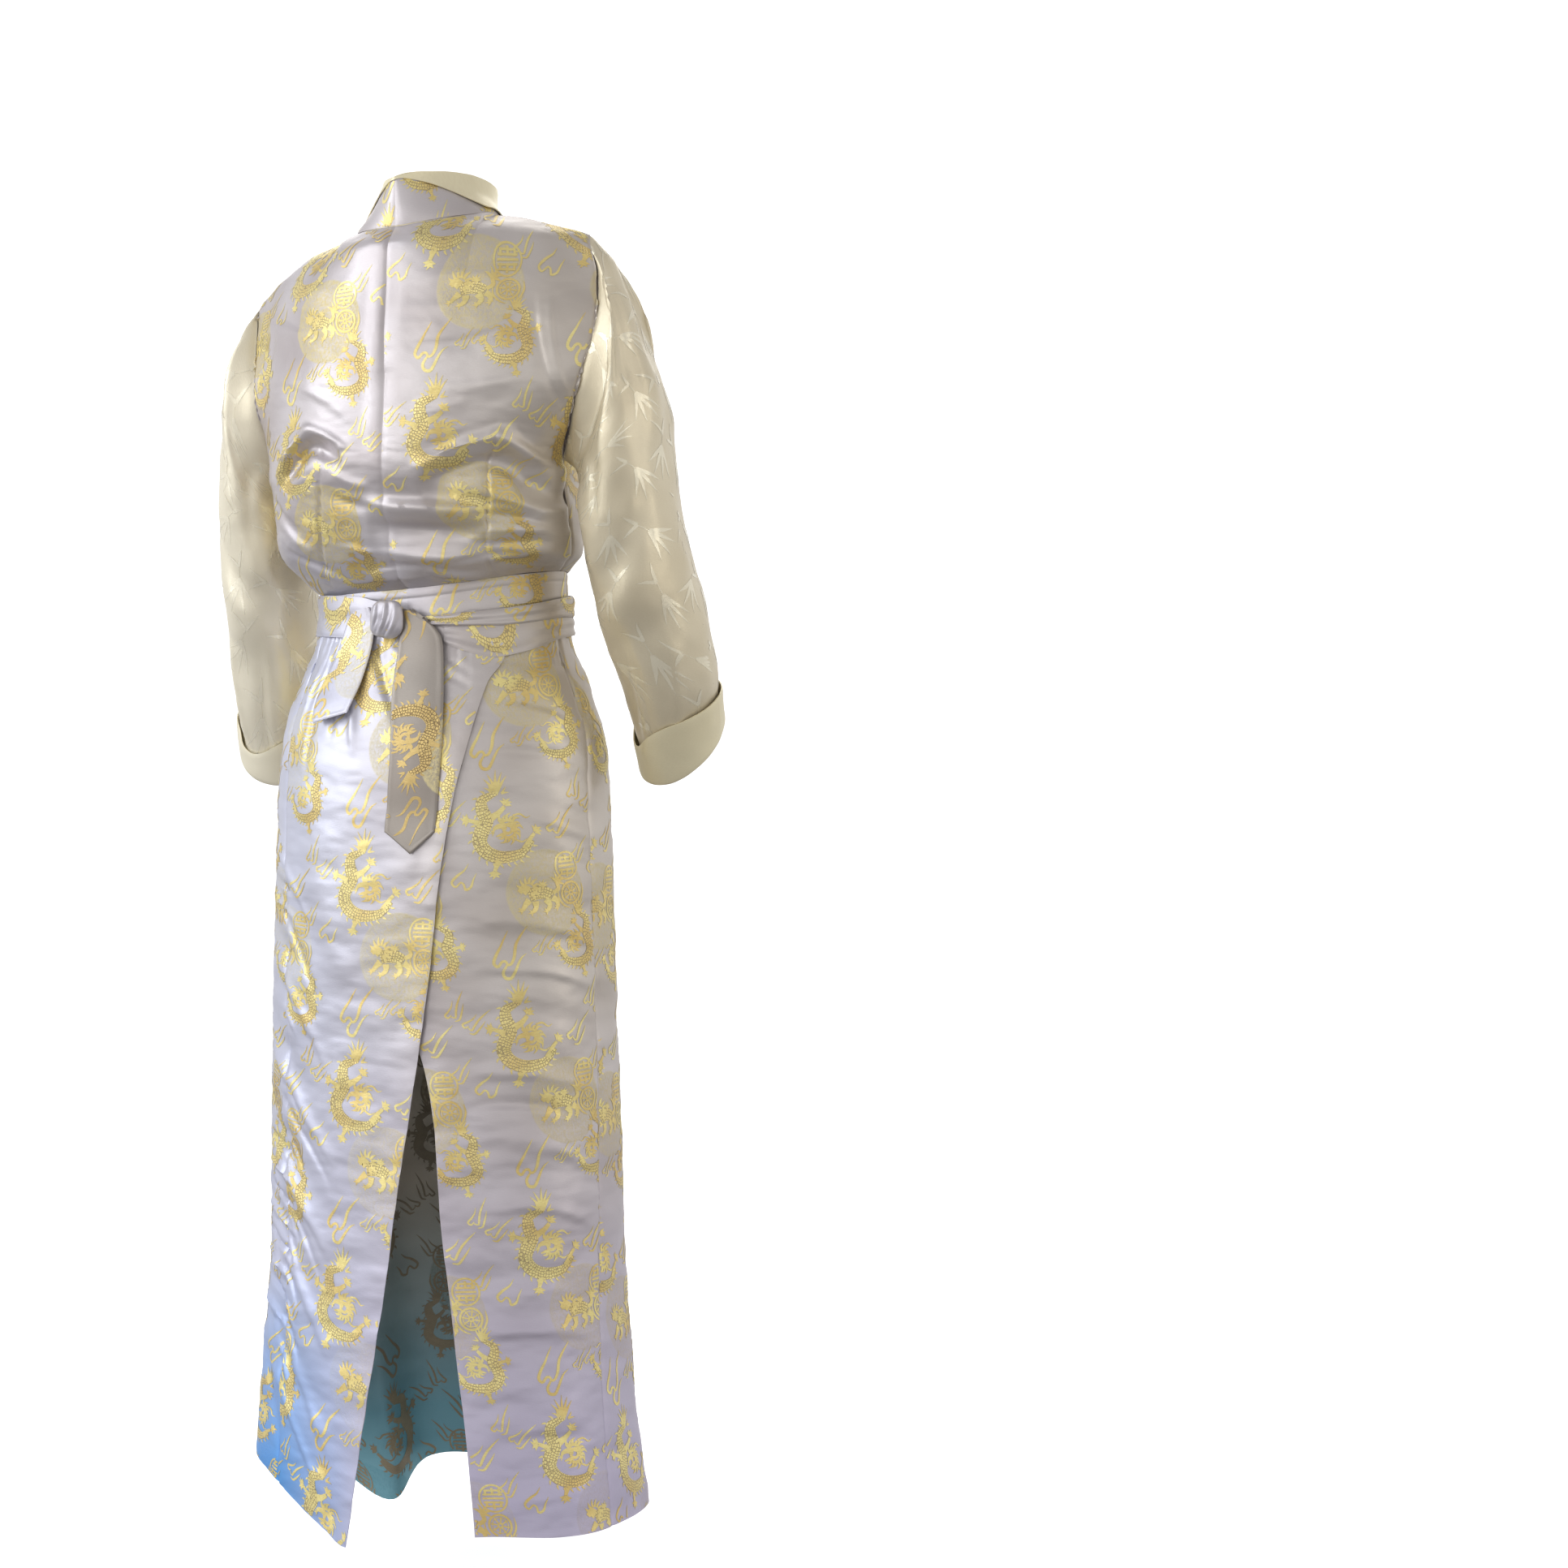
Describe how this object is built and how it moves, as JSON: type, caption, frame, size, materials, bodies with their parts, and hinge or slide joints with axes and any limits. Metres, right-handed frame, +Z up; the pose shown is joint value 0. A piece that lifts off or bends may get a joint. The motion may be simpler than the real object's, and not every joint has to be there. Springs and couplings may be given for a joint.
{
  "type": "chuba dress",
  "caption": "Worn hollow wrap dress with a stand collar, long cream sleeves with turned-back cuffs, a wound and knotted belt, and a long overlapped skirt.",
  "frame": {"origin": "midway between the shoulders, where the wearer carries the dress", "axes": "+Z up, the front of the dress faces -Y, +X to the wearer's left"},
  "size_m": [0.6121, 0.3918, 1.5147],
  "materials": {
    "brocade": "lilac-grey silk satin brocade with gold figures",
    "satin": "cream silk satin with a tone-on-tone jacquard",
    "facing": "plain cream silk"
  },
  "bodies": {
    "root": {"belt_knot": "brocade", "belt_lower": "brocade", "belt_tail_long": "brocade", "belt_tail_short": "brocade", "belt_upper": "brocade", "bodice_back_left": "brocade", "bodice_back_right": "brocade", "bodice_front_left": "brocade", "bodice_front_right": "brocade", "collar_left": "brocade", "collar_right": "brocade", "skirt_back_left": "brocade", "skirt_back_right": "brocade", "skirt_front": "brocade", "waistband": "brocade", "sleeve_left": "satin", "sleeve_right": "satin", "collar_facing_left": "facing", "collar_facing_right": "facing", "cuff_left": "facing", "cuff_right": "facing"}
  },
  "joints": []
}
